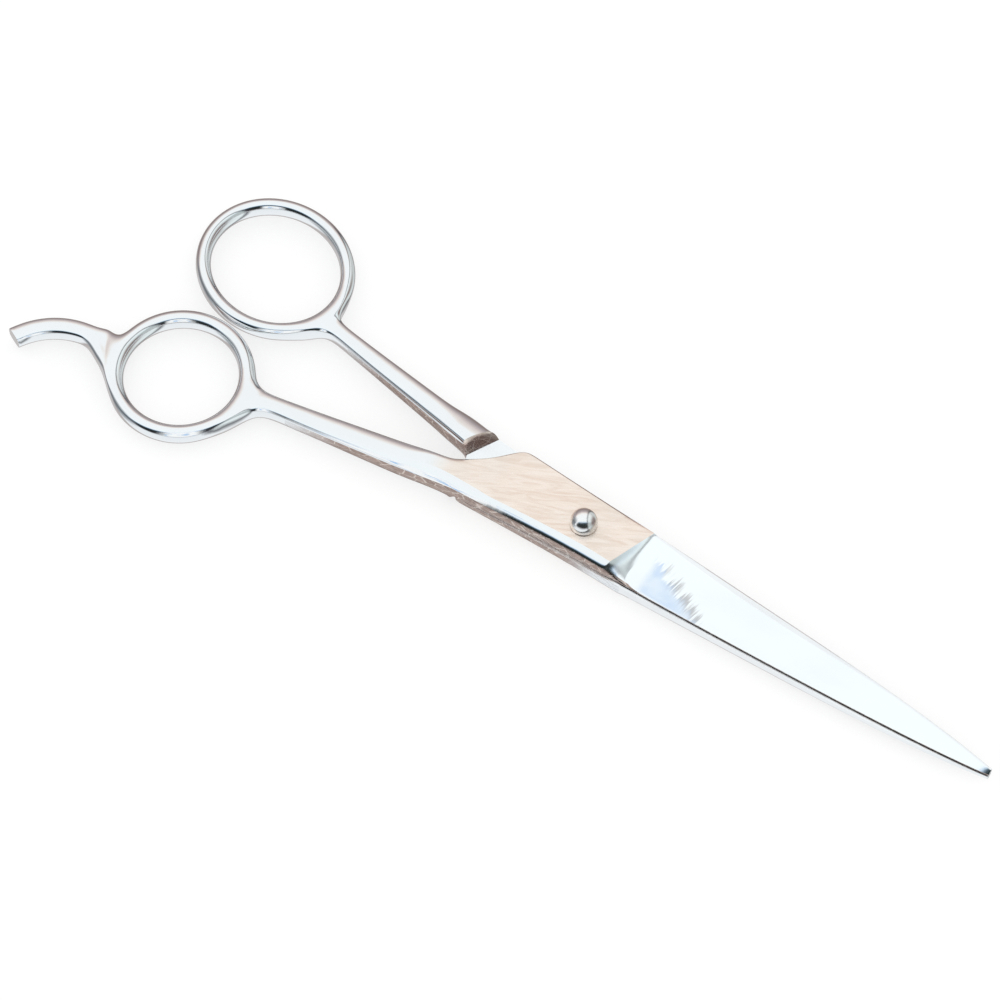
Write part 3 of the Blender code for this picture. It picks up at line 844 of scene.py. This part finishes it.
# Studio: the camera looks at the shears from this side, and the reflections are set out along it
CAMERA_AZIMUTH = radians(34.65)
CAMERA_ELEVATION = radians(60)
CAMERA_DISTANCE = 0.750
CAMERA_LENS = 140.6
CAMERA_SENSOR = 36
CAMERA_AIM = Vector((-0.0171, -0.0033, 0.0030))
CAMERA_SIDE = Vector((sin(CAMERA_AZIMUTH), -cos(CAMERA_AZIMUTH), 0))
CAMERA_RIGHT = (cos(CAMERA_AZIMUTH), sin(CAMERA_AZIMUTH), 0)
SOFT_LIGHT = 1.06            # strength of the white sky
FLOOR_SIZE = 3.0
FLOOR_DROP = 0.0002          # from the lowest point of the shears
FLOOR_GREY = 0.36
FLOOR_GLOW = 0.66
CARD_X = (-0.15, -0.04)      # reflector card: its two ends, along the image's width
CARD_TOP = 0.08
CARD_OUT = 0.030             # pivot to the card, toward the camera
CARD_LIFT = 0.0015
CARD_GLOW = 1.05
CARD_FADE = ((-0.118, -0.092), (-0.062, -0.046))        # its soft left and right ends
CARD_WHITE = (0.98, 1.0, 1.0, 1)
CARD_BLUE = (0.40, 0.60, 0.86, 1)


def add_camera():
    data = bpy.data.cameras.new("camera")
    data.lens = CAMERA_LENS
    data.sensor_width = CAMERA_SENSOR
    camera = link("camera", data)
    back = CAMERA_SIDE * cos(CAMERA_ELEVATION) + Vector((0, 0, sin(CAMERA_ELEVATION)))
    camera.location = CAMERA_AIM + back * CAMERA_DISTANCE
    camera.rotation_euler = back.to_track_quat("Z", "Y").to_euler()
    bpy.context.scene.camera = camera


def add_floor():
    """Pale floor, left out of the reflections."""
    mesh = bpy.data.meshes.new("floor")
    shape = bmesh.new()
    bmesh.ops.create_grid(shape, x_segments=8, y_segments=8, size=FLOOR_SIZE)
    shape.to_mesh(mesh)
    shape.free()
    floor = link("floor", mesh)
    floor.location.z = cad_low.z - FLOOR_DROP
    floor.visible_glossy = False
    material, _, shader = new_material("floor")
    shader.inputs["Base Color"].default_value = (FLOOR_GREY, FLOOR_GREY, FLOOR_GREY, 1)
    shader.inputs["Emission Color"].default_value = (1.0, 1.0, 1.0, 1)
    shader.inputs["Emission Strength"].default_value = FLOOR_GLOW
    shader.inputs["Roughness"].default_value = 0.9
    shader.inputs["Specular IOR Level"].default_value = 0.0
    mesh.materials.append(material)


# Reflections by angle from the zenith, in degrees, positive toward the camera's side
ROOM = ((-180, (0.50, 0.46, 0.45)), (-150, (0.62, 0.60, 0.60)), (-115, (0.27, 0.215, 0.20)),
        (-88, (0.31, 0.255, 0.245)), (-68, (0.43, 0.38, 0.39)), (-58, (0.62, 0.54, 0.53)),
        (-47, (0.90, 0.84, 0.80)), (-39, (1.0, 1.03, 1.04)), (28, (1.0, 1.06, 1.08)),
        (35, (0.60, 0.76, 0.94)), (41, (0.09, 0.13, 0.17)), (50, (0.02, 0.03, 0.03)),
        (86, (0.02, 0.02, 0.02)), (94, (0.55, 0.57, 0.60)), (104, (0.90, 0.95, 0.98)),
        (165, (0.95, 0.98, 1.0)), (180, (0.50, 0.46, 0.45)))

# What closes the room at its two ends, from the left end to the right one: place, share, colour
ENDS = ((-1.0, 0.92, (0.13, 0.15, 0.16)), (-0.90, 0.65, (0.24, 0.27, 0.30)),
        (-0.78, 0.0, (0.40, 0.42, 0.46)), (0.36, 0.0, (0.05, 0.05, 0.06)),
        (0.48, 0.85, (0.05, 0.05, 0.06)), (0.60, 0.6, (0.85, 0.95, 0.95)),
        (0.82, 0.7, (0.70, 0.76, 0.76)), (0.94, 0.9, (0.28, 0.23, 0.215)),
        (1.0, 0.95, (0.22, 0.18, 0.17)))


def add_world():
    """White for the camera and for soft light; a studio of long strips for reflections."""
    world = bpy.data.worlds.new("studio")
    bpy.context.scene.world = world
    world.use_nodes = True
    tree = Nodes(world.node_tree)
    output = world.node_tree.nodes["World Output"]
    plain = world.node_tree.nodes["Background"]
    plain.inputs["Color"].default_value = (1.0, 1.0, 1.0, 1)
    plain.inputs["Strength"].default_value = SOFT_LIGHT
    direction = tree.add("ShaderNodeTexCoord").outputs["Generated"]
    angle = tree.math("ARCTAN2", tree.along(direction, CAMERA_SIDE), tree.split(direction)["Z"])
    turn = tree.math("ADD", tree.product(angle, 1 / (2 * pi)), 0.5)
    strips = tree.ramp(turn, [(0.5 + degrees / 360, tint) for degrees, tint in ROOM])
    sideways = tree.along(direction, CAMERA_RIGHT)
    across = tree.math("ADD", tree.product(sideways, 0.5), 0.5)
    share = tree.ramp(across, [((side + 1) / 2, (part,) * 3) for side, part, _ in ENDS])
    closing = tree.ramp(across, [((side + 1) / 2, tint) for side, _, tint in ENDS])
    room = tree.add("ShaderNodeBackground")
    tree.put(tree.blend(share, strips, closing), room.inputs["Color"])
    room.inputs["Strength"].default_value = 1.0
    chosen = tree.add("ShaderNodeMixShader")
    tree.put(tree.add("ShaderNodeLightPath").outputs["Is Glossy Ray"], chosen.inputs[0])
    tree.put(plain.outputs[0], chosen.inputs[1])
    tree.put(room.outputs[0], chosen.inputs[2])
    tree.put(chosen.outputs[0], output.inputs["Surface"])


def add_reflector():
    """White card standing beside the rings, seen only in their reflections."""
    mesh = bpy.data.meshes.new("reflector")
    left, right = CARD_X
    corners = ((left, 0, 0), (right, 0, 0), (right, 0, CARD_TOP), (left, 0, CARD_TOP))
    mesh.from_pydata(corners, [], [(0, 1, 2, 3)])
    card = link("reflector", mesh)
    card.rotation_euler.z = CAMERA_AZIMUTH
    card.location = CAMERA_SIDE * CARD_OUT + Vector((0, 0, CARD_LIFT))
    card.visible_camera = False
    card.visible_shadow = False
    card.visible_diffuse = False
    material, tree, shader = new_material("reflector")
    place = tree.add("ShaderNodeTexCoord").outputs["Object"]
    cloud = tree.noise(tree.stretch(place, (75, 75, 60)), detail=2.0)
    tint = tree.blend(tree.span(cloud, 0.52, 0.66), CARD_WHITE, CARD_BLUE)
    shader.inputs["Base Color"].default_value = (0.0, 0.0, 0.0, 1)
    shader.inputs["Roughness"].default_value = 1.0
    shader.inputs["Emission Strength"].default_value = CARD_GLOW
    tree.put(tint, shader.inputs["Emission Color"])
    run = tree.split(place)["X"]
    ends = tree.product(tree.span(run, *CARD_FADE[0]), tree.span(run, *CARD_FADE[1], 1.0, 0.0))
    tree.put(ends, shader.inputs["Alpha"])
    mesh.materials.append(material)


upright = Matrix.Translation((0, 0, PLATE_THICKNESS))
turned_over = upright @ Matrix.Rotation(pi, 4, "X")

finger = add_half("finger_half_steel", FINGER, upright, SHANK_RADIUS + RUNNING_CLEARANCE,
                  half_steels("finger", upper_wall))
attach(finger, "finger_side")
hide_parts("finger_half")

thumb = add_half("thumb_half_steel", THUMB, turned_over, SHANK_RADIUS + GAP,
                 half_steels("thumb", painted_wall))
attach(thumb, "thumb_side")
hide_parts("thumb_half")

screw = add_pivot_screw("pivot_screw_steel", steel("screw", (0.90, 0.89, 0.88), 0.17, ground))
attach(screw, "thumb_side")
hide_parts("pivot_screw")

add_floor()
add_reflector()
add_world()
add_camera()
bpy.context.scene.view_settings.view_transform = "Standard"
